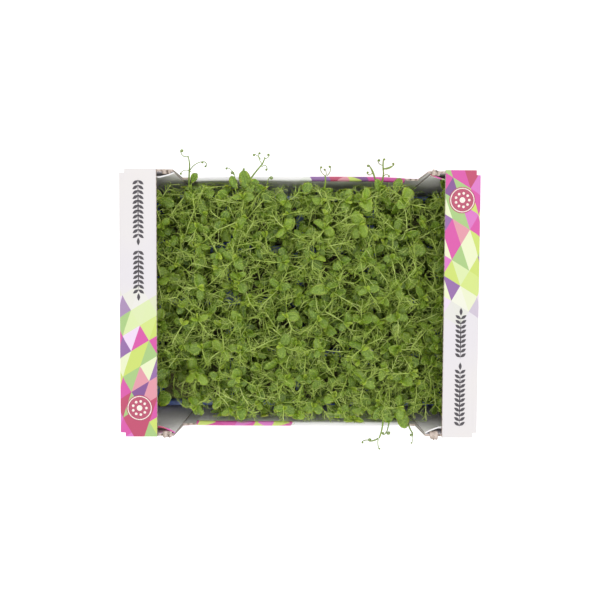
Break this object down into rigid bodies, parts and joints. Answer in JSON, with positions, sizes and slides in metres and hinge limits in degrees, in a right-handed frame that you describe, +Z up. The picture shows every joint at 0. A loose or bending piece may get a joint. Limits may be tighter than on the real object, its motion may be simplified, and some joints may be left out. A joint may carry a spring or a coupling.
{
  "type": "microgreens tray",
  "caption": "Corrugated produce tray with end shelves and low sides, holding a blue pocketed insert of growing medium with pea shoots.",
  "frame": {"origin": "middle of the carton's underside", "axes": "+X along the carton's length, +Y across it, +Z up"},
  "size_m": [0.4, 0.3424, 0.14],
  "materials": {
    "board": "white-lined corrugated board with a printed lattice on the end shelves and tan cut edges",
    "insert_plastic": "thermoformed navy-blue sheet, glossy",
    "growing_medium": "moist brown fibre, very rough",
    "shoots": "living leaves and stems, satin, slightly translucent"
  },
  "bodies": {
    "root": {"carton": "board", "insert_tray": "insert_plastic", "medium_c1r1": "growing_medium", "medium_c1r2": "growing_medium", "medium_c1r3": "growing_medium", "medium_c1r4": "growing_medium", "medium_c2r1": "growing_medium", "medium_c2r2": "growing_medium", "medium_c2r3": "growing_medium", "medium_c2r4": "growing_medium", "medium_c3r1": "growing_medium", "medium_c3r2": "growing_medium", "medium_c3r3": "growing_medium", "medium_c3r4": "growing_medium", "medium_c4r1": "growing_medium", "medium_c4r2": "growing_medium", "medium_c4r3": "growing_medium", "medium_c4r4": "growing_medium", "shoots_c1r1": "shoots", "shoots_c1r2": "shoots", "shoots_c1r3": "shoots", "shoots_c1r4": "shoots", "shoots_c2r1": "shoots", "shoots_c2r2": "shoots", "shoots_c2r3": "shoots", "shoots_c2r4": "shoots", "shoots_c3r1": "shoots", "shoots_c3r2": "shoots", "shoots_c3r3": "shoots", "shoots_c3r4": "shoots", "shoots_c4r1": "shoots", "shoots_c4r2": "shoots", "shoots_c4r3": "shoots", "shoots_c4r4": "shoots"}
  },
  "joints": []
}
